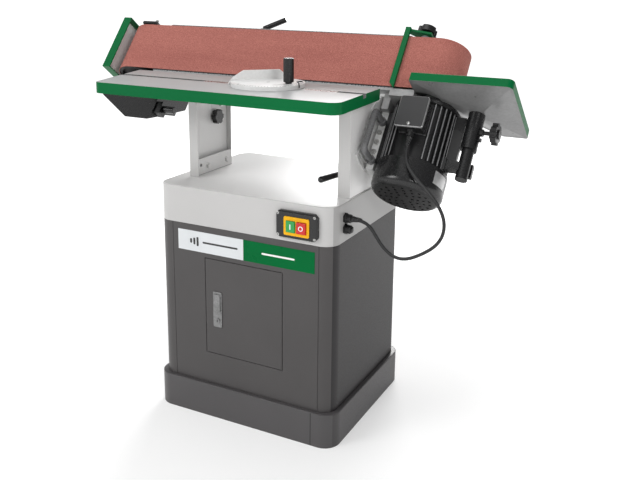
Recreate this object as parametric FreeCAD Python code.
"""Edge belt sander on a cabinet stand, as an assembly of separate pieces.

Frame: +X to the right along the sanding belt, +Y to the back, +Z up.
Origin: centre of the plinth's flat bottom face, on the floor.  Units: millimetres.

The belt head hangs on two trunnions.  It is modelled upright, in head coordinates:
x along the belt, u up from the tilt axis, v forward from the tilt axis.
Then it is tilted back by TILT_REST.
"""
import FreeCAD, Part
import math
import os

V = FreeCAD.Vector

# ---------------------------------------------------------------- driving dimensions
SHEET = 2.0                                    # cabinet sheet thickness

PLINTH_W, PLINTH_D, PLINTH_H, PLINTH_R = 530.0, 446.0, 90.0, 42.0
FLOOR_HOLE_X, FLOOR_HOLE_Y, FLOOR_HOLE_R = 200.0, 160.0, 6.0

CAB_W, CAB_D, CAB_R = 508.0, 424.0, 38.0       # cabinet body and its corner radius
BODY_TOP, CAP_TOP = 520.0, 617.0
SEAM_LEFT, SEAM_RIGHT = -207.0, 217.5          # seams beside the front panel
FRONT_Y = -CAB_D / 2

DOOR_X0, DOOR_X1, DOOR_Z0, DOOR_Z1 = -108.0, 117.0, 178.0, 435.0
DOOR_GAP, DOOR_FLANGE = 1.6, 12.0
DOOR_PIN_X, DOOR_PIN_Y, DOOR_PIN_R = DOOR_X1 - 1.5, FRONT_Y + 2.0, 1.5
LATCH_X, LATCH_Z = -72.0, 272.0                # axis of the latch core

UP_FRONT, UP_BACK, UP_TOP = -118.0, 57.0, 846.0  # uprights: front face, back face, top
UP_LEFT, UP_RIGHT, UP_T = -217.0, 250.5, 3.0   # outer faces of the two webs

TABLE_TOP, TABLE_T, APRON_H, APRON_T = 874.0, 10.0, 28.0, 6.0
TABLE_FRONT, TABLE_BACK = -273.0, -7.0
SLOT_Y, SLOT_W, SLOT_H = -113.0, 19.0, 9.5     # mitre slot

PIVOT_Y, PIVOT_Z, PIVOT_R = 29.0, 799.0, 10.0  # tilt axis, along X
TILT_REST = 38.5                               # head angle from upright, in degrees
LOCK_R, LOCK_ANGLE = 131.0, 13.0               # right clamp stud: radius, angle from below
KNOB_R, KNOB_ANGLE = 50.0, 42.6                # left clamp stud
STUD_R, SLOT_HALF = 6.0, 6.5
RUN = 0.05                                     # radial running clearance

BELT_U0, BELT_U1, BELT_T = 69.0, 219.0, 1.2    # belt edges and thickness
DRUM_R, DRUM_V = 67.0, -34.0
DRIVE_X, IDLER_X = 372.0, -548.0
BELT_GAP = 0.3                                 # belt to drum
BELT_V = DRUM_V + DRUM_R + BELT_GAP + BELT_T   # front face of the belt

FRAME_X0, FRAME_X1 = -455.0, 296.0
STOP_X, STOP_V, STOP_R = 324.0, 5.0, 4.5       # work stop's stud, parallel to u
TENSION_X, TENSION_U, TENSION_R = -235.0, 240.0, 4.0   # tension lever's pin, parallel to v
PLATE_X0, PLATE_X1 = 265.0, 283.0              # motor plate
MOTOR_R, FIN_R, FAN_R = 76.0, 84.0, 88.0
MOTOR_U0, MOTOR_U1, SHIELD_U1, FAN_U0 = -126.0, 28.0, 42.0, -198.0
SHAFT_R = 12.0
BOX_U0, BOX_U1, BOX_V0, BOX_V1 = -62.0, 16.0, 48.0, 78.0   # terminal box
POST_X, POST_V, POST_R, SLEEVE_R = 500.0, -20.0, 15.0, 20.0
END_TOP, END_BAND, END_APEX = 75.0, 22.0, 38.0  # end table: top, band height, apex

GAUGE_X, GAUGE_R, GAUGE_SLOT_R, GAUGE_ANGLE = 21.0, 92.0, 58.0, 135.0
GAUGE_Z0, GAUGE_T = TABLE_TOP + 0.3, 10.0

CORD_R = 4.0
# centre line of the motor cable at rest, from the motor gland to the cabinet gland
CORD_POINTS = [
    (381.0, -72.13, 774.67), (381.0, -93.05, 748.38), (390.0, -112.0, 722.0),
    (418.0, -132.0, 697.0), (452.0, -147.0, 675.0), (484.0, -161.0, 651.0),
    (506.0, -171.0, 620.0), (508.0, -175.0, 586.0), (491.0, -174.0, 555.0),
    (458.0, -170.0, 529.0), (420.0, -165.0, 508.0), (388.0, -160.0, 505.0),
    (360.0, -156.0, 520.0), (339.0, -153.0, 543.0), (321.0, -150.5, 567.5),
    (297.0, -149.0, 579.0), (272.0, -149.0, 579.0),
]

parts = {}
HEAD = set()                                   # nodes that tilt with the head


# ---------------------------------------------------------------- helpers
def box(x0, x1, y0, y1, z0, z1):
    return Part.makeBox(x1 - x0, y1 - y0, z1 - z0, V(x0, y0, z0))


def cyl(base, direction, radius, length):
    return Part.makeCylinder(radius, length, V(*base), V(*direction))


def hbox(x0, x1, u0, u1, v0, v1):
    """Box in head coordinates."""
    return box(x0, x1, PIVOT_Y - v1, PIVOT_Y - v0, PIVOT_Z + u0, PIVOT_Z + u1)


def hpoint(x, u, v):
    return V(x, PIVOT_Y - v, PIVOT_Z + u)


def hcyl(x, u, v, axis, radius, length):
    """Cylinder from a head point, along "x", "u", "v" or their negatives."""
    sign = -1.0 if axis[0] == "-" else 1.0
    direction = {"x": V(1, 0, 0), "u": V(0, 0, 1), "v": V(0, -1, 0)}[axis[-1]] * sign
    return Part.makeCylinder(radius, length, hpoint(x, u, v), direction)


def fuse(*shapes):
    result = shapes[0].fuse(list(shapes[1:])) if len(shapes) > 1 else shapes[0]
    return result.removeSplitter()


def cut(shape, *tools):
    return shape.cut(list(tools)).removeSplitter()


def group(shapes):
    return Part.makeCompound(shapes)


def rounded_rect(width, depth, radius, z0, z1, cx=0.0, cy=0.0):
    block = box(cx - width / 2, cx + width / 2, cy - depth / 2, cy + depth / 2, z0, z1)
    upright = [e for e in block.Edges if abs(e.Vertexes[0].Z - e.Vertexes[-1].Z) > 1e-6]
    return block.makeFillet(radius, upright)


def prism(points, direction):
    """Extrude a closed flat outline of points."""
    wire = Part.makePolygon([V(*p) for p in points] + [V(*points[0])])
    return Part.Face(wire).extrude(V(*direction))


def outline(points, radii, z0, z1):
    """Extruded outline in XY whose corners are rounded by the given radii."""
    edges = []
    count = len(points)
    ends = []
    for i in range(count):
        p = V(points[i][0], points[i][1], z0)
        a = V(points[i - 1][0], points[i - 1][1], z0) - p
        b = V(points[(i + 1) % count][0], points[(i + 1) % count][1], z0) - p
        if radii[i] == 0:
            ends.append((p, None, p))
            continue
        half = a.getAngle(b) / 2
        reach = radii[i] / math.tan(half)
        a.normalize()
        b.normalize()
        bisector = (a + b).normalize()
        middle = p + bisector * (radii[i] / math.sin(half) - radii[i])
        ends.append((p + a * reach, middle, p + b * reach))
    for i in range(count):
        start, middle, stop = ends[i]
        if middle is not None:
            edges.append(Part.Arc(start, middle, stop).toShape())
        following = ends[(i + 1) % count][0]
        if stop.distanceToPoint(following) > 1e-6:
            edges.append(Part.LineSegment(stop, following).toShape())
    return Part.Face(Part.Wire(edges)).extrude(V(0, 0, z1 - z0))


def hex_head(base, direction, across, height):
    """Hexagon prism for bolt heads and nuts, centred on base."""
    axis = V(*direction)
    radius = across / math.sqrt(3)
    shape = Part.makePolygon([V(radius * math.cos(math.radians(60 * i)),
                                radius * math.sin(math.radians(60 * i)), 0)
                              for i in range(7)])
    solid = Part.Face(shape).extrude(V(0, 0, height))
    solid.Placement = FreeCAD.Placement(V(*base), FreeCAD.Rotation(V(0, 0, 1), axis))
    return solid


def rod_path(points, radius, factor=0.45):
    """Round rod along straight runs joined by tangent arcs.  Returns solid, length, radii."""
    points = [V(*p) for p in points]
    edges = []
    radii = []
    start = points[0]
    for i in range(1, len(points) - 1):
        back = points[i - 1] - points[i]
        ahead = points[i + 1] - points[i]
        shorter = min(back.Length, ahead.Length)
        reach = factor * shorter
        turn = math.pi - back.getAngle(ahead)
        bend = reach / math.tan(turn / 2)
        radii.append(bend)
        back.normalize()
        ahead.normalize()
        first = points[i] + back * reach
        last = points[i] + ahead * reach
        bisector = (back + ahead).normalize()
        middle = points[i] + bisector * (bend / math.cos(turn / 2) - bend)
        edges.append(Part.LineSegment(start, first).toShape())
        edges.append(Part.Arc(first, middle, last).toShape())
        start = last
    edges.append(Part.LineSegment(start, points[-1]).toShape())
    path = Part.Wire(edges)
    section = Part.Wire(Part.makeCircle(radius, points[0], points[1] - points[0]))
    solid = path.makePipeShell([section], True, False)
    return solid, path.Length, radii


def star_knob(base, direction, radius, height, lobes=6):
    """Star grip: a disc with round hollows around its rim."""
    disc = Part.makeCylinder(radius, height, V(0, 0, 0), V(0, 0, 1))
    hollow = radius * 0.34
    for i in range(lobes):
        angle = 2 * math.pi * i / lobes
        place = V(radius * 1.16 * math.cos(angle), radius * 1.16 * math.sin(angle), -1)
        disc = disc.cut(Part.makeCylinder(hollow, height + 2, place, V(0, 0, 1)))
    disc.Placement = FreeCAD.Placement(V(*base), FreeCAD.Rotation(V(0, 0, 1), V(*direction)))
    return disc


def arc_slot(x0, x1, radius, angle0, angle1, half):
    """Cutter for a curved slot about the tilt axis; angles from straight down, forward +."""
    ring = Part.makeCylinder(radius + half, x1 - x0, V(x0, PIVOT_Y, PIVOT_Z), V(1, 0, 0))
    ring = ring.cut(Part.makeCylinder(radius - half, x1 - x0, V(x0, PIVOT_Y, PIVOT_Z),
                                      V(1, 0, 0)))
    wedge = sector_wedge(x0, x1, radius + 2 * half, angle0, angle1)
    slot = ring.common(wedge)
    for angle in (angle0, angle1):
        slot = slot.fuse(cyl((x0,) + polar(radius, angle), (1, 0, 0), half, x1 - x0))
    return slot


def polar(radius, angle):
    """Y and Z of a point at this angle from straight down, forward positive."""
    a = math.radians(angle)
    return (PIVOT_Y - radius * math.sin(a), PIVOT_Z - radius * math.cos(a))


def sector_wedge(x0, x1, radius, angle0, angle1):
    """Fan-shaped prism about the tilt axis."""
    middle = (angle0 + angle1) / 2
    a, m, b = (V(x0, *polar(radius, t)) for t in (angle0, middle, angle1))
    centre = V(x0, PIVOT_Y, PIVOT_Z)
    edges = [Part.LineSegment(centre, a).toShape(), Part.Arc(a, m, b).toShape(),
             Part.LineSegment(b, centre).toShape()]
    return Part.Face(Part.Wire(edges)).extrude(V(x1 - x0, 0, 0))


def head(name, shape):
    parts[name] = shape
    HEAD.add(name)


# ---------------------------------------------------------------- cabinet
def make_cabinet():
    w, d, r = PLINTH_W, PLINTH_D, PLINTH_R
    wall = 3.0
    plinth = rounded_rect(w, d, r, 0, PLINTH_H)
    rim = [e for e in plinth.Edges if abs(e.BoundBox.ZMin - PLINTH_H) < 1e-6]
    plinth = plinth.makeChamfer(1.5, rim)
    plinth = cut(plinth, rounded_rect(w - 2 * wall, d - 2 * wall, r - wall, wall, PLINTH_H - wall),
                 rounded_rect(440, 356, 12, PLINTH_H - 2 * wall, PLINTH_H + 1))
    holes = [cyl((x, y, -1), (0, 0, 1), FLOOR_HOLE_R, wall + 2)
             for x in (-FLOOR_HOLE_X, FLOOR_HOLE_X) for y in (-FLOOR_HOLE_Y, FLOOR_HOLE_Y)]
    parts["plinth"] = cut(plinth, *holes)

    shell = cut(rounded_rect(CAB_W, CAB_D, CAB_R, PLINTH_H, BODY_TOP),
                rounded_rect(CAB_W - 2 * SHEET, CAB_D - 2 * SHEET, CAB_R - SHEET,
                             PLINTH_H - 1, BODY_TOP + 1),
                box(SEAM_LEFT, SEAM_RIGHT, FRONT_Y - 1, FRONT_Y + 20, PLINTH_H - 1, BODY_TOP + 1))
    returns = [box(a, a + SHEET, FRONT_Y + 0.1, FRONT_Y + 14, PLINTH_H, BODY_TOP)
               for a in (SEAM_LEFT - SHEET, SEAM_RIGHT)]
    parts["cabinet_shell"] = fuse(shell, *returns)

    x0, x1 = DOOR_X0 - DOOR_GAP, DOOR_X1 + DOOR_GAP
    z0, z1 = DOOR_Z0 - DOOR_GAP, DOOR_Z1 + DOOR_GAP
    seam = 0.8
    panel = box(SEAM_LEFT + seam, SEAM_RIGHT - seam, FRONT_Y, FRONT_Y + SHEET, PLINTH_H, BODY_TOP)
    for a in (SEAM_LEFT, SEAM_RIGHT - SHEET):
        panel = panel.fuse(box(a, a + SHEET, FRONT_Y + SHEET, FRONT_Y + 14, PLINTH_H, BODY_TOP))
    frame = box(x0 - SHEET, x1 + SHEET, FRONT_Y + SHEET, FRONT_Y + SHEET + DOOR_FLANGE,
                z0 - SHEET, z1 + SHEET)
    panel = fuse(panel, frame)
    panel = cut(panel, box(x0, x1, FRONT_Y - 1, FRONT_Y + 20, z0, z1),
                cyl((DOOR_PIN_X, DOOR_PIN_Y, z1 - 1), (0, 0, 1), DOOR_PIN_R + RUN, 6),
                cyl((DOOR_PIN_X, DOOR_PIN_Y, z0 - 5), (0, 0, 1), DOOR_PIN_R + RUN, 6))
    parts["front_panel"] = panel

    cap = rounded_rect(CAB_W, CAB_D, CAB_R, BODY_TOP, CAP_TOP)
    top_rim = [e for e in cap.Edges if abs(e.BoundBox.ZMin - CAP_TOP) < 1e-6]
    cap = cap.makeFillet(3.0, top_rim)
    cap = cut(cap, rounded_rect(CAB_W - 2 * SHEET, CAB_D - 2 * SHEET, CAB_R - SHEET,
                                BODY_TOP - 1, CAP_TOP - 3))
    parts["cabinet_cap"] = cap


def make_door():
    door = box(DOOR_X0, DOOR_X1, FRONT_Y, FRONT_Y + DOOR_FLANGE, DOOR_Z0, DOOR_Z1)
    door = door.cut(box(DOOR_X0 + SHEET, DOOR_X1 - SHEET, FRONT_Y + SHEET, FRONT_Y + 20,
                        DOOR_Z0 + SHEET, DOOR_Z1 - SHEET))
    for z in (DOOR_Z1 - 8, DOOR_Z0 - 4.5):
        door = door.fuse(cyl((DOOR_PIN_X, DOOR_PIN_Y, z), (0, 0, 1), DOOR_PIN_R, 12.5))
    core_r = 7.0
    hole = cyl((LATCH_X, FRONT_Y - 5, LATCH_Z), (0, 1, 0), core_r + RUN, 12)
    parts["door"] = cut(door, hole)

    plate = box(LATCH_X - 13, LATCH_X + 13, FRONT_Y - 2, FRONT_Y, 254, 350)
    edges = [e for e in plate.Edges if e.Length < 2.1]
    plate = plate.makeFillet(4, edges)
    pull = box(LATCH_X - 9, LATCH_X + 9, FRONT_Y - 5, FRONT_Y - 2, 298, 344)
    parts["latch_plate"] = cut(fuse(plate, pull), hole)

    core = cyl((LATCH_X, FRONT_Y - 4, LATCH_Z), (0, 1, 0), core_r, 26)
    cam = box(LATCH_X - 8, LATCH_X + 8, FRONT_Y + 17, FRONT_Y + 20, LATCH_Z - 48, LATCH_Z)
    key = box(LATCH_X - 0.8, LATCH_X + 0.8, FRONT_Y - 5, FRONT_Y - 1, LATCH_Z - 3.5, LATCH_Z + 3.5)
    parts["latch_core"] = cut(fuse(core, cam), key)


def make_switch():
    x0, x1, z0, z1 = 106.0, 217.0, 532.0, 598.0
    face = FRONT_Y - 12.0
    shell = box(x0, x1, face, FRONT_Y, z0, z1)
    corner = [e for e in shell.Edges if abs(e.Length - 12.0) < 1e-6]
    shell = shell.makeChamfer(8.0, corner)
    front = [e for e in shell.Edges if abs(e.BoundBox.YMax - face) < 1e-6]
    shell = shell.makeChamfer(3.0, front)
    px0, px1, pz0, pz1 = 129.0, 197.0, 540.0, 586.0
    buttons = {"start_button": (136.0, 160.0), "stop_button": (164.5, 189.5)}
    bz0, bz1, deep = 548.0, 576.0, 9.0
    pockets = [box(a - 0.5, b + 0.5, face - 3, face + deep, bz0 - 0.5, bz1 + 0.5)
               for a, b in buttons.values()]
    parts["switch_box"] = cut(shell, *pockets)
    plate = box(px0, px1, face - 2, face, pz0, pz1)
    rim = [e for e in plate.Edges if e.Length < 2.1]
    parts["switch_plate"] = cut(plate.makeFillet(4.0, rim), *pockets)
    for name, (a, b) in buttons.items():
        proud = 5.0 if name == "start_button" else 6.5
        button = box(a, b, face - proud, face + deep - 4.5, bz0, bz1)
        edges = [e for e in button.Edges if abs(e.BoundBox.YMax - (face - proud)) < 1e-6]
        parts[name] = button.makeFillet(1.5, edges)

    glands = []
    for z in (579.0, 552.0):
        nut = hex_head((CAB_W / 2, -149, z), (1, 0, 0), 23.0, 7.0)
        dome = cyl((CAB_W / 2 + 7, -149, z), (1, 0, 0), 10.5, 11.0)
        edges = [e for e in dome.Edges if abs(e.BoundBox.XMin - (CAB_W / 2 + 18)) < 1e-6]
        glands.append(fuse(nut, dome.makeFillet(3.0, edges)))
    parts["cable_glands"] = group(glands)

    z0, z1, thick = 449.0, 503.0, 0.8
    parts["badge"] = box(-190, 206, FRONT_Y - thick, FRONT_Y, z0, z1)


# ---------------------------------------------------------------- uprights and main table
def make_upright(outer, inward, front_width, back_width, stud_radius, stud_angle, stud_r):
    """Channel standing on the cap; inward is +1 when the open side faces +X."""
    def span(a, b):
        return sorted((outer + inward * a, outer + inward * b))
    w0, w1 = span(0, UP_T)
    web = box(w0, w1, UP_FRONT, UP_BACK, CAP_TOP, UP_TOP)
    f0, f1 = span(0, front_width)
    front = box(f0, f1, UP_FRONT, UP_FRONT + UP_T, CAP_TOP, UP_TOP)
    b0, b1 = span(0, back_width)
    back = box(b0, b1, UP_BACK - UP_T, UP_BACK, CAP_TOP, UP_TOP)
    channel = fuse(web, front, back)
    stud = polar(stud_radius, stud_angle)
    return cut(channel, cyl((w0 - 1, PIVOT_Y, PIVOT_Z), (1, 0, 0), PIVOT_R, UP_T + 2),
               cyl((w0 - 1,) + stud, (1, 0, 0), stud_r, UP_T + 2))


def make_uprights():
    parts["left_upright"] = make_upright(UP_LEFT, 1, 27.0, 17.0, KNOB_R, KNOB_ANGLE, 5.0)
    parts["right_upright"] = make_upright(UP_RIGHT, -1, 32.0, 18.0, LOCK_R, LOCK_ANGLE, STUD_R)

    brackets = []
    bolts = []
    plate_t, foot_top = 3.0, 661.0
    inner_y0, inner_y1 = UP_FRONT + UP_T, UP_BACK - UP_T
    for outer, inward, back_width in ((UP_LEFT, 1, 17.0), (UP_RIGHT, -1, 18.0)):
        a = outer + inward * back_width
        x0, x1 = sorted((a, a + inward * -plate_t))
        foot = box(x0, x1, inner_y0, inner_y1, CAP_TOP, foot_top)
        foot = foot.cut(cyl((x0 - 1, -91, 643), (1, 0, 0), 4.5, plate_t + 2))
        brackets.append(foot)
        leg0, leg1 = sorted((outer + inward * UP_T, outer + inward * (UP_T + 5)))
        shelf0, shelf1 = sorted((outer + inward * UP_T, outer + inward * 50))
        leg = box(leg0, leg1, -90, -12, 818, 864)
        shelf = box(shelf0, shelf1, -90, -12, 858, 864)
        brackets.append(fuse(leg, shelf))
        for y in (-75.0, -35.0):
            head_x = outer + inward * (UP_T + 5)
            bolts.append(hex_head((head_x, y, 832), (inward, 0, 0), 13.0, 6.0))
        for y in (-60.0, 30.0):
            bolts.append(hex_head((a, y, 636), (inward, 0, 0), 13.0, 6.0))
    parts["upright_brackets"] = group(brackets)
    parts["upright_bolts"] = group(bolts)

    disc = 1.6
    pin_left = fuse(cyl((UP_LEFT - 22, PIVOT_Y, PIVOT_Z), (1, 0, 0), PIVOT_R, 22 + UP_T),
                    cyl((UP_LEFT + UP_T, PIVOT_Y, PIVOT_Z), (1, 0, 0), 14.0, 6.0))
    pin_right = fuse(cyl((UP_RIGHT - UP_T, PIVOT_Y, PIVOT_Z), (1, 0, 0), PIVOT_R, 12.5 + UP_T),
                     cyl((UP_RIGHT - UP_T - 6, PIVOT_Y, PIVOT_Z), (1, 0, 0), 14.0, 6.0))
    lock = polar(LOCK_R, LOCK_ANGLE)
    stud_right = fuse(cyl((UP_RIGHT - 14,) + lock, (1, 0, 0), STUD_R, 14 + 5),
                      cyl((UP_RIGHT + 4.6,) + lock, (1, 0, 0), 10.0, disc))
    knob = polar(KNOB_R, KNOB_ANGLE)
    stud_left = fuse(cyl((UP_LEFT - 5,) + knob, (1, 0, 0), 5.0, 5 + 14),
                     cyl((UP_LEFT - 4.6 - disc,) + knob, (1, 0, 0), 9.0, disc))
    parts["pivot_studs"] = group([pin_left, pin_right, stud_right, stud_left])

    lever_x = UP_RIGHT - 14.2
    hub = cut(cyl((lever_x - 12,) + lock, (1, 0, 0), 10.0, 22),
              cyl((lever_x - 3,) + lock, (1, 0, 0), STUD_R + RUN, 40))
    tip = V(178, -128, 659)
    root = V(lever_x - 5, lock[0] - 4, lock[1] - 1)
    axis = tip - root
    grip_at = root + axis * 0.3
    arm = Part.makeCone(5.0, 5.6, axis.Length * 0.34, root, axis)
    grip = Part.makeCone(6.2, 8.0, axis.Length * 0.7, grip_at, axis)
    end = Part.makeSphere(8.0, tip)
    parts["lock_lever"] = fuse(hub, arm, grip, end)

    parts["left_lock_knob"] = cut(
        fuse(star_knob((UP_LEFT + 7,) + knob, (1, 0, 0), 20.0, 14.0),
             cyl((UP_LEFT + 3.4,) + knob, (1, 0, 0), 9.0, 5.0)),
        cyl((UP_LEFT,) + knob, (1, 0, 0), 5.0 + RUN, 14.0))


def make_table():
    corners = [(-393.0, TABLE_FRONT), (290.0, TABLE_FRONT), (276.0, TABLE_BACK),
               (-464.0, TABLE_BACK)]
    radii = [20.0, 26.0, 2.0, 2.0]
    inner = [(-385.0, TABLE_FRONT + APRON_T), (283.7, TABLE_FRONT + APRON_T),
             (269.5, TABLE_BACK + 20), (-463.5, TABLE_BACK + 20)]
    block = outline(corners, radii, TABLE_TOP - APRON_H, TABLE_TOP)
    hollow = outline(inner, [14.0, 20.0, 0, 0], TABLE_TOP - APRON_H - 1, TABLE_TOP - TABLE_T)
    rib = box(-440, 281, SLOT_Y - 20, SLOT_Y + 20, TABLE_TOP - 17, TABLE_TOP - TABLE_T)
    rib = rib.common(block)
    slot = box(-500, 320, SLOT_Y - SLOT_W / 2, SLOT_Y + SLOT_W / 2,
               TABLE_TOP - SLOT_H, TABLE_TOP + 1)
    parts["main_table"] = cut(fuse(block.cut(hollow), rib), slot)


def make_gauge():
    half = SLOT_W / 2 - 0.12
    bar = box(GAUGE_X - 190, GAUGE_X + 190, SLOT_Y - half, SLOT_Y + half,
              TABLE_TOP - SLOT_H + 0.1, TABLE_TOP - 0.2)
    stud_x = GAUGE_X + GAUGE_SLOT_R
    pin = cyl((GAUGE_X, SLOT_Y, TABLE_TOP - 1), (0, 0, 1), 5.0, 1 + 0.3 + GAUGE_T)
    stud = cyl((stud_x, SLOT_Y, TABLE_TOP - 1), (0, 0, 1), 4.0, 22)
    parts["mitre_bar"] = fuse(bar, pin, stud)

    disc = cyl((GAUGE_X, SLOT_Y, GAUGE_Z0), (0, 0, 1), GAUGE_R, GAUGE_T)
    chord = 58.0
    direction = FreeCAD.Rotation(V(0, 0, 1), GAUGE_ANGLE)
    trim = box(chord, 200, -200, 200, -1, 30)
    trim.Placement = FreeCAD.Placement(V(GAUGE_X, SLOT_Y, GAUGE_Z0), direction)
    slot_half = 4.5
    ring = cyl((GAUGE_X, SLOT_Y, GAUGE_Z0 - 1), (0, 0, 1), GAUGE_SLOT_R + slot_half, 20)
    ring = ring.cut(cyl((GAUGE_X, SLOT_Y, GAUGE_Z0 - 1), (0, 0, 1), GAUGE_SLOT_R - slot_half, 20))
    fan = prism([(GAUGE_X, SLOT_Y, GAUGE_Z0 - 1), (GAUGE_X + 100, SLOT_Y - 100, GAUGE_Z0 - 1),
                 (GAUGE_X + 100, SLOT_Y + 100, GAUGE_Z0 - 1)], (0, 0, 20))
    reach = GAUGE_SLOT_R * math.sin(math.radians(45))
    ends = [cyl((GAUGE_X + reach, SLOT_Y + s * reach, GAUGE_Z0 - 1), (0, 0, 1), slot_half, 20)
            for s in (-1, 1)]
    plate = cut(disc, trim, ring.common(fan), *ends,
                cyl((GAUGE_X, SLOT_Y, GAUGE_Z0 - 1), (0, 0, 1), 5.0 + RUN, 20))
    parts["mitre_head"] = plate

    fence = prism([(0, -82, 0), (0, 88, 0), (0, 74, 17), (0, 47, 33), (0, -47, 33), (0, -76, 8)],
                  (8, 0, 0))
    fence.Placement = FreeCAD.Placement(V(GAUGE_X, SLOT_Y, GAUGE_Z0), direction).multiply(
        FreeCAD.Placement(V(chord, 0, 0), FreeCAD.Rotation()))
    parts["mitre_fence"] = fence

    grip = cyl((stud_x, SLOT_Y, GAUGE_Z0 + GAUGE_T + 4), (0, 0, 1), 13.0, 58)
    rim = [e for e in grip.Edges if e.Curve.TypeId == "Part::GeomCircle"]
    grip = grip.makeFillet(2.0, rim)
    collar = cyl((stud_x, SLOT_Y, GAUGE_Z0 + GAUGE_T + 0.3), (0, 0, 1), 8.0, 6)
    parts["mitre_handle"] = cut(fuse(grip, collar),
                                cyl((stud_x, SLOT_Y, GAUGE_Z0), (0, 0, 1), 4.0 + RUN, 22))


# ---------------------------------------------------------------- belt head
def stadium(radius, u0, u1):
    """Prism around both drum axes."""
    bar = hbox(IDLER_X, DRIVE_X, u0, u1, DRUM_V - radius, DRUM_V + radius)
    return fuse(bar, hcyl(IDLER_X, u0, DRUM_V, "u", radius, u1 - u0),
                hcyl(DRIVE_X, u0, DRUM_V, "u", radius, u1 - u0))


def make_frame():
    top0, top1, low0, low1 = 221.0, 227.0, 58.0, 64.0
    top = hbox(FRAME_X0, FRAME_X1, top0, top1, -70, 26)
    reach = hbox(FRAME_X1, 345, top0, top1, -45, 20)
    boss = hcyl(STOP_X, top1, STOP_V, "u", 12.0, 9.0)
    stud = hcyl(STOP_X, top1, STOP_V, "u", STOP_R, 32.0)
    bottom = hbox(FRAME_X0, 347, low0, low1, -108, 33)
    block = hbox(PLATE_X1, 347, SHIELD_U1 + 2, low0, -108, 33)
    web = hbox(FRAME_X0, FRAME_X1 - 6, low1, top0, -20, -12)
    ribs = [hbox(x, x + 6, low1, top0, -12, 26) for x in (FRAME_X0, -210.0, 40.0, 284.0)]
    arm = hbox(PLATE_X0, PLATE_X1, 14, low0, -95, 14)
    half = 10.0
    cheeks = [hbox(TENSION_X - half, TENSION_X + half, top1, TENSION_U + 12, a, b)
              for a, b in ((-52, -44.5), (-23.5, -16))]
    pin = hcyl(TENSION_X, TENSION_U, -52, "v", TENSION_R, 36)
    head("head_frame", fuse(top, reach, boss, stud, bottom, block, web, arm, *ribs, *cheeks, pin))

    head("platen", hbox(FRAME_X0 - 4, 290, 65, 224, 26, 31.5))
    head("platen_pad", hbox(FRAME_X0 - 4, 290, 67, 221, 31.5, 33.0))
    outer = stadium(DRUM_R + BELT_GAP + BELT_T, BELT_U0, BELT_U1)
    inner = stadium(DRUM_R + BELT_GAP, BELT_U0 - 1, BELT_U1 + 1)
    head("sanding_belt", cut(outer, inner))

    cover = hbox(FRAME_X0, 300, 58, 229, -110, -108)
    lip = hbox(FRAME_X0, 300, 227, 229, -108, -70)
    head("rear_cover", fuse(cover, lip))


def make_trunnions():
    left0, left1 = UP_LEFT - 4.5, UP_LEFT - 0.5
    hub = hcyl(left0, 0, 0, "x", 30.0, 4.0)
    blade = hbox(left0, left1, 0, 58, -30, 30)
    lobe = sector_wedge(left0, left1, KNOB_R + 12.5, KNOB_ANGLE - 90 - 14, KNOB_ANGLE + 14)
    gusset = hbox(left0 - 30, left0, 50, 58, -30, 30)
    left = cut(fuse(hub, blade, lobe, gusset),
               arc_slot(left0 - 1, left1 + 1, KNOB_R, KNOB_ANGLE - 90, KNOB_ANGLE, 5.5),
               hcyl(left0 - 1, 0, 0, "x", PIVOT_R + RUN, 6))

    right0, right1 = UP_RIGHT + 0.5, UP_RIGHT + 4.5
    spread = 5.5
    fan = sector_wedge(right0, right1, LOCK_R + 12.5, LOCK_ANGLE - 90 - spread, LOCK_ANGLE + spread)
    window = sector_wedge(right0 - 1, right1 + 1, LOCK_R - 12.5, LOCK_ANGLE - 90 + 16,
                          LOCK_ANGLE - 16)
    window = window.cut(hcyl(right0 - 2, 0, 0, "x", 44.0, 8))
    disc = hcyl(right0, 0, 0, "x", 36.0, 4.0)
    pad = hbox(right0, right1, 0, 58, -60, 12)
    ledge = hbox(right1, PLATE_X0, 50, 58, -60, 12)
    right = cut(fuse(fan.cut(window), disc, pad, ledge),
                arc_slot(right0 - 1, right1 + 1, LOCK_R, LOCK_ANGLE - 90, LOCK_ANGLE,
                         SLOT_HALF),
                hcyl(right0 - 1, 0, 0, "x", PIVOT_R + RUN, 6))
    head("trunnions", group([left, right]))


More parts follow.
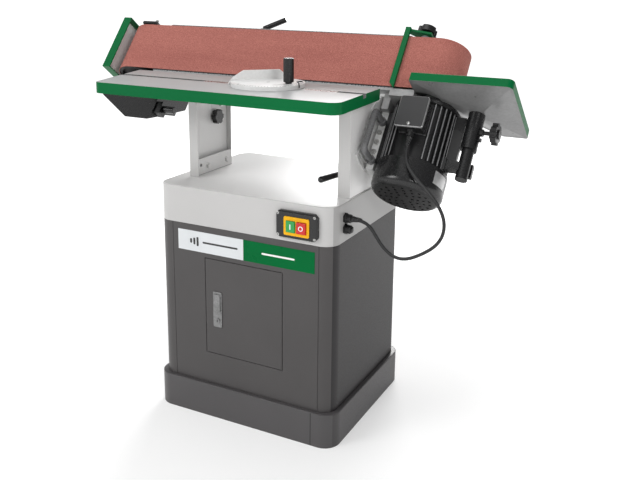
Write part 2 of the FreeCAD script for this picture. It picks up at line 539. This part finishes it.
def make_motor():
    head("motor_plate", hbox(PLATE_X0, PLATE_X1, -146, 14, -100, -3))

    core = hcyl(DRIVE_X, MOTOR_U0, DRUM_V, "u", MOTOR_R, MOTOR_U1 - MOTOR_U0)
    shape = core
    fins = []
    count = 36
    for i in range(count):
        angle = 360.0 * i / count
        if 64 < angle < 116:                    # smooth side under the terminal box
            continue
        fin = box(MOTOR_R - 3, FIN_R, -1.3, 1.3, 0, MOTOR_U1 - MOTOR_U0 - 6)
        base = hpoint(DRIVE_X, MOTOR_U0 + 4, DRUM_V)
        fin.Placement = FreeCAD.Placement(base, FreeCAD.Rotation(V(0, 0, 1), -angle))
        fins.append(fin)
    shape = shape.fuse(fins)
    feet = [hbox(PLATE_X1, PLATE_X1 + 10, -125, 14, -96, -4)]
    for v in (-92, -30):
        feet.append(hbox(PLATE_X1 + 10, 316, -124, 10, v, v + 24))
    seat = hbox(343, 409, BOX_U0, BOX_U1, DRUM_V + 60, BOX_V0)
    boss = hbox(430, 458, -122, -92, POST_V - 15, POST_V + 15)
    web = hbox(440, 479, -95, 24, POST_V - 6, POST_V + 6)
    shape = fuse(shape, *feet, seat, boss, web)
    bore = hcyl(DRIVE_X, MOTOR_U0 + 8, DRUM_V, "u", 62.0, MOTOR_U1 - MOTOR_U0)
    shape = cut(shape, bore, hcyl(DRIVE_X, MOTOR_U0 - 1, DRUM_V, "u", SHAFT_R + RUN, 12))
    head("motor_housing", shape)

    shield = hcyl(DRIVE_X, MOTOR_U1, DRUM_V, "u", FIN_R, SHIELD_U1 - MOTOR_U1)
    rim = [e for e in shield.Edges if abs(e.BoundBox.ZMin - (PIVOT_Z + SHIELD_U1)) < 1e-6]
    shield = shield.makeFillet(6.0, rim)
    head("end_shield", cut(shield, hcyl(DRIVE_X, MOTOR_U1 - 1, DRUM_V, "u", SHAFT_R + RUN, 20)))

    stator = hcyl(DRIVE_X, -92, DRUM_V, "u", 62.0, 96)
    head("motor_stator", cut(stator, hcyl(DRIVE_X, -93, DRUM_V, "u", 40.0, 100)))

    cover = hcyl(DRIVE_X, FAN_U0, DRUM_V, "u", FAN_R, MOTOR_U0 - FAN_U0)
    low = [e for e in cover.Edges if abs(e.BoundBox.ZMax - (PIVOT_Z + FAN_U0)) < 1e-6]
    cover = cover.makeFillet(20.0, low)
    inside = hcyl(DRIVE_X, FAN_U0 + 2.5, DRUM_V, "u", FAN_R - 2.5, MOTOR_U0 - FAN_U0)
    low = [e for e in inside.Edges if abs(e.BoundBox.ZMax - (PIVOT_Z + FAN_U0 + 2.5)) < 1e-6]
    inside = inside.makeFillet(17.5, low)
    slots = []
    for radius, number in ((20.0, 6), (34.0, 10), (48.0, 14), (62.0, 18)):
        for i in range(number):
            angle = 2 * math.pi * i / number
            slots.append(hcyl(DRIVE_X + radius * math.cos(angle), FAN_U0 - 1,
                              DRUM_V + radius * math.sin(angle), "u", 3.4, 6))
    head("fan_cover", cut(cover, inside, *slots))

    body = hbox(343, 409, BOX_U0, BOX_U1, BOX_V0, BOX_V1)
    side = [e for e in body.Edges if abs(e.Length - (BOX_V1 - BOX_V0)) < 1e-6]
    head("terminal_box", body.makeFillet(5.0, side))
    lid = hbox(340, 412, BOX_U0 - 2, BOX_U1 + 3, BOX_V1, BOX_V1 + 6)
    side = [e for e in lid.Edges if abs(e.Length - 6.0) < 1e-6]
    lid = lid.makeFillet(7.0, side)
    front = [e for e in lid.Edges if abs(e.BoundBox.YMax - (PIVOT_Y - BOX_V1 - 6)) < 1e-6]
    head("terminal_lid", lid.makeFillet(2.0, front))
    gland_x, gland_v = 381.0, 64.0
    nut = hex_head(hpoint(gland_x, BOX_U0, gland_v), (0, 0, -1), 22.0, 9.0)
    dome = hcyl(gland_x, BOX_U0 - 9, gland_v, "-u", 9.5, 11.0)
    head("motor_gland", fuse(nut, dome))


def make_spindles():
    shaft = hcyl(DRIVE_X, MOTOR_U0 - 40, DRUM_V, "u", SHAFT_R, 213 - MOTOR_U0 + 40)
    rotor = hcyl(DRIVE_X, -92, DRUM_V, "u", 39.4, 96)
    head("motor_rotor", fuse(shaft, rotor))

    def drum(x, bore):
        barrel = hcyl(x, BELT_U0, DRUM_V, "u", DRUM_R, BELT_U1 - BELT_U0)
        hollow = hcyl(x, BELT_U0 + 14, DRUM_V, "u", DRUM_R - 9, BELT_U1 - BELT_U0)
        ring = hcyl(x, BELT_U0 - 1, DRUM_V, "u", DRUM_R - 9, 11)
        ring = ring.cut(hcyl(x, BELT_U0 - 2, DRUM_V, "u", 24, 13))
        hub = hcyl(x, BELT_U0, DRUM_V, "u", 22.0, BELT_U1 - BELT_U0 - 4)
        shell = barrel.cut(hollow).cut(ring).fuse(hub)
        return cut(shell, hcyl(x, BELT_U0 - 1, DRUM_V, "u", bore, BELT_U1 - BELT_U0 + 2))
    head("drive_drum", drum(DRIVE_X, SHAFT_R))
    head("idler_drum", drum(IDLER_X, SHAFT_R + RUN))

    hub = hcyl(DRIVE_X, -162, DRUM_V, "u", 18.0, 26)
    disc = hcyl(DRIVE_X, -142, DRUM_V, "u", 72.0, 3)
    blades = []
    for i in range(7):
        blade = box(16, 72, -1.5, 1.5, 0, 24)
        blade.Placement = FreeCAD.Placement(hpoint(DRIVE_X, -165, DRUM_V),
                                            FreeCAD.Rotation(V(0, 0, 1), 360.0 * i / 7))
        blades.append(blade)
    fan = fuse(hub, disc, *blades)
    head("motor_fan", cut(fan, hcyl(DRIVE_X, -170, DRUM_V, "u", SHAFT_R, 40)))


def make_idler():
    top = hbox(-572, -464, 226, 234, -67, 8)
    top = top.cut(hbox(-512, -460, 225, 235, -14, 12)).fuse(hbox(-572, -520, 226, 234, 0, 30))
    low = hbox(-580, -464, 55, 63, -67, -1)
    back = hbox(-476, -464, 63, 226, -54, -14)
    bar = hbox(-464, -380, 120, 168, -50, -20.5)
    yoke = fuse(top, low, back, bar)
    screw_x, screw_v, screw_r = -545.0, 4.0, 5.0
    yoke = cut(yoke, hcyl(IDLER_X, 50, DRUM_V, "u", SHAFT_R, 200),
               hcyl(screw_x, 220, screw_v, "u", screw_r + RUN, 20))
    head("idler_yoke", yoke)
    axle = fuse(hcyl(IDLER_X, 50, DRUM_V, "u", SHAFT_R, 192),
                hex_head(hpoint(IDLER_X, 234, DRUM_V), (0, 0, 1), 30.0, 8.0))
    head("idler_axle", axle)
    screw = fuse(hcyl(screw_x, 223, screw_v, "u", screw_r, 31),
                 hex_head(hpoint(screw_x, 234.3, screw_v), (0, 0, 1), 17.0, 8.0))
    head("tracking_screw", screw)

    lever_v = DRUM_V
    hub = cut(hcyl(TENSION_X, TENSION_U, lever_v - 10, "v", 11.0, 20),
              hcyl(TENSION_X, TENSION_U, lever_v - 12, "v", TENSION_R + RUN, 30))
    knee, start, end = (-209.0, 258.0), (-191.0, 268.0), (-128.0, 303.0)

    def rod(a, b, radius):
        first, last = hpoint(a[0], a[1], lever_v), hpoint(b[0], b[1], lever_v)
        return Part.makeCylinder(radius, (last - first).Length, first, last - first)
    bend = Part.makeSphere(4.5, hpoint(knee[0], knee[1], lever_v))
    inner = (TENSION_X + 7, TENSION_U + 5)
    lever = fuse(hub, rod(inner, knee, 4.5), bend, rod(knee, start, 4.5))
    head("tension_lever", lever)
    grip = rod(start, end, 7.5)
    tips = [e for e in grip.Edges if e.Curve.TypeId == "Part::GeomCircle"]
    head("tension_grip", grip.makeFillet(2.5, tips))


def make_guards():
    x0, depth, t = -640.0, 27.0, 3.0
    u0, u1, v0, v1 = 60.0, 237.0, -112.0, 40.0
    tray = hbox(x0, x0 + depth, u0, u1, v0, v1)
    tray = tray.cut(hbox(x0 + t, x0 + depth + 1, u0 + t, u1 - t, v0 + t, v1 - t))
    strap = hbox(x0 + depth, FRAME_X0 + 30, 174, 222, v0, v0 + 2)
    head("end_guard", fuse(tray, strap))

    # The hood is a trough under the idler drum whose floor rises to the back,
    # and a chute behind the belt with the hose port on it.
    wall = 2.0
    front, back, chute_back = 25.0, -108.0, -152.0
    slope = 0.795                              # the floor's rise per unit of depth
    rim = [(-605, -8), (-605, -27), (-491, -91), (-413, -91), (-405, -56), (-405, 58), (-480, 58)]
    inside = [(-603, -6), (-603, -25.8), (-490.4, -89), (-414.6, -89), (-407, -55.7),
              (-407, 60), (-484.3, 60)]

    def slab(points, v_from, v_to):
        return prism([tuple(hpoint(x, u, v_from)) for x, u in points], (0, v_from - v_to, 0))

    def below(u_front, v_front):
        """Everything under the rising floor."""
        rise = (v_front - back) * slope
        side = [hpoint(-700, u_front, v_front), hpoint(-700, u_front + rise, back),
                hpoint(-700, -300, back), hpoint(-700, -300, v_front)]
        return prism([tuple(p) for p in side], (400, 0, 0))
    trough = slab(rim, back, front).cut(below(-91, front))
    hollow = slab(inside, back - 5, front - wall).cut(below(-91 + wall, front).fuse(
        hbox(-700, -300, -300, 17, back - 5, back)))
    chute = hbox(-605, -470, 14, 168, chute_back, back)
    room = hbox(-603, -472, 17, 166, chute_back + wall, back + 5)
    hood = fuse(trough.cut(hollow), chute.cut(room))
    hood = hood.cut(slab([(-603, -7), (-600, 60), (-484.3, 60)], back, front - wall))
    port_x, port_u = -538.0, 110.0
    port = hcyl(port_x, port_u, chute_back + wall, "-v", 50.0, 54)
    lug = hbox(-405, -386, -66, -30, -8, 20)
    hood = fuse(hood, port, lug)
    hood = cut(hood, hcyl(port_x, port_u, chute_back + 5, "-v", 48.0, 70),
               hcyl(-410, -46, 4, "x", 4.0 + RUN, 40))
    head("dust_hood", hood)
    knob = hcyl(-384, -46, 4, "x", 10.0, 34)
    end = [e for e in knob.Edges if e.Curve.TypeId == "Part::GeomCircle"]
    head("hood_knob", fuse(knob.makeFillet(1.5, end), hcyl(-409, -46, 4, "x", 4.0, 27)))


def make_handle():
    x, radius, grip_v = (PLATE_X0 + PLATE_X1) / 2, 8.0, 60.0
    route = [(-16, -3), (-16, grip_v), (-124, grip_v), (-124, -3)]
    points = [tuple(hpoint(x, u, v)) for u, v in route]
    rod = rod_path(points, radius, 0.2)[0]
    collars = [hcyl(x, u, -3, "v", 11.0, 12.0) for u in (-16, -124)]
    head("tilt_handle", fuse(rod, *collars))


def make_end_table():
    plan = [(351, 97), (600, 97), (602, -147), (540, -147), (452, -75), (351, 40)]
    radii = [3.0, 14.0, 6.0, 4.0, 0, 0]
    band_low = END_TOP - END_BAND
    flat = [(x, PIVOT_Y - v) for x, v in plan]
    block = outline(flat, radii, PIVOT_Z + band_low, PIVOT_Z + END_TOP)
    inset = [(357, 90), (594, 90), (595, -140), (543, -140), (458, -72), (357, 44)]
    spread = [(-20, 20), (20, 20), (22, -22), (8, -24), (-18, -20), (-24, 6)]
    wires = []
    for points, u in ((inset, band_low), ([(POST_X + a, POST_V + b) for a, b in spread], END_APEX)):
        ring = [hpoint(a, u, b) for a, b in points]
        wires.append(Part.makePolygon(ring + [ring[0]]))
    pyramid = Part.makeLoft(wires, True, True)
    notch = hcyl(DRIVE_X, 0, DRUM_V, "u", DRUM_R + 10, 120)
    table = cut(fuse(block, pyramid), notch)
    solids = sorted(table.Solids, key=lambda s: s.Volume)
    head("end_table", solids[-1])

    sleeve_u0 = -60.0
    sleeve = hcyl(POST_X, sleeve_u0, POST_V, "u", SLEEVE_R, END_APEX - sleeve_u0)
    screw_u = -9.0
    boss = hcyl(POST_X + 14, screw_u, POST_V, "x", 9.0, 12)
    nipple = hex_head(hpoint(POST_X + 18, screw_u - 20, POST_V), (1, 0, 0), 10.0, 7.0)
    sleeve = cut(fuse(sleeve, boss, nipple),
                 hcyl(POST_X, sleeve_u0 - 1, POST_V, "u", POST_R + RUN, 200),
                 hcyl(POST_X, screw_u, POST_V, "x", 5.0 + RUN, 60))
    head("post_sleeve", sleeve)
    stud = hcyl(POST_X + POST_R + 0.4, screw_u, POST_V, "x", 5.0, 34)
    knob = star_knob(hpoint(548, screw_u, POST_V), (1, 0, 0), 27.0, 14.0)
    collar = hcyl(542, screw_u, POST_V, "x", 12.0, 24)
    head("clamp_knob", fuse(stud, knob, collar))

    post = hcyl(POST_X, -138, POST_V, "u", POST_R, 138 + END_APEX - 2)
    bracket = cut(hbox(458, 492, -118, -96, POST_V - 12, POST_V + 12),
                  hcyl(POST_X, -140, POST_V, "u", POST_R, 60))
    bar = hbox(492, 518, -124, -90, POST_V - POST_R - 8, POST_V - POST_R + 4)
    bar = bar.cut(hcyl(POST_X, -140, POST_V, "u", POST_R, 60))
    head("end_post", fuse(post, bracket, bar))


def make_work_stop():
    x0, x1, v0, v1 = 279.5, 293.0, 36.5, 43.5
    bar = hbox(x0, x1, 62, 242.5, v0, v1)
    tip = prism([tuple(hpoint(x0 - 1, 61, v1 + 1)), tuple(hpoint(x0 - 1, 76, v1 + 1)),
                 tuple(hpoint(x1 + 1, 61, v1 + 1))], (0, 10, 0))
    plan = [(x0, v1), (x1, v1), (x1, 34), (344, 22), (344, -10), (306, -10), (303, 4), (x0, 24)]
    top = prism([tuple(hpoint(x, 236.5, v)) for x, v in plan], (0, 0, 6))
    hole = hcyl(STOP_X, 230, STOP_V, "u", STOP_R + RUN, 40)
    head("work_stop", cut(fuse(bar, top), tip, hole))
    knob = fuse(star_knob(hpoint(STOP_X, 247, STOP_V), (0, 0, 1), 25.0, 16.0, 3),
                hcyl(STOP_X, 242.8, STOP_V, "u", 11.0, 5))
    head("stop_knob", cut(knob, hcyl(STOP_X, 240, STOP_V, "u", STOP_R + RUN, 20)))


def make_head_bolts():
    bolts = []
    for u in (-45, -72, -99):
        bolts.append(hex_head(hpoint((PLATE_X0 + PLATE_X1) / 2, u, -3), (0, -1, 0), 12.0, 5.0))
    for x in (-400, -150, 100, 250):
        bolts.append(hex_head(hpoint(x, 227, -58), (0, 0, 1), 13.0, 6.0))
    head("head_bolts", group(bolts))


def make_cord():
    tube, length, radii = rod_path(CORD_POINTS, CORD_R)
    parts["motor_cable"] = tube
    print("cord length %.1f, volume / (section x length) %.4f" %
          (length, tube.Volume / (math.pi * CORD_R ** 2 * length)))
    print("cord radii", " ".join("%.0f" % r for r in radii))


# ---------------------------------------------------------------- build and write
for make in (make_cabinet, make_door, make_switch, make_uprights, make_table, make_gauge,
             make_frame, make_trunnions, make_motor, make_spindles, make_idler, make_guards,
             make_handle, make_end_table, make_work_stop, make_head_bolts, make_cord):
    make()

os.makedirs("parts", exist_ok=True)
for name in sorted(parts):
    shape = parts[name]
    if name in HEAD:
        shape = shape.copy()
        shape.rotate(V(0, PIVOT_Y, PIVOT_Z), V(1, 0, 0), -TILT_REST)
    if not shape.isValid() or not shape.Solids:
        print("BAD SHAPE", name)
    shape.exportStep("parts/" + name + ".step")
print(len(parts), "nodes")
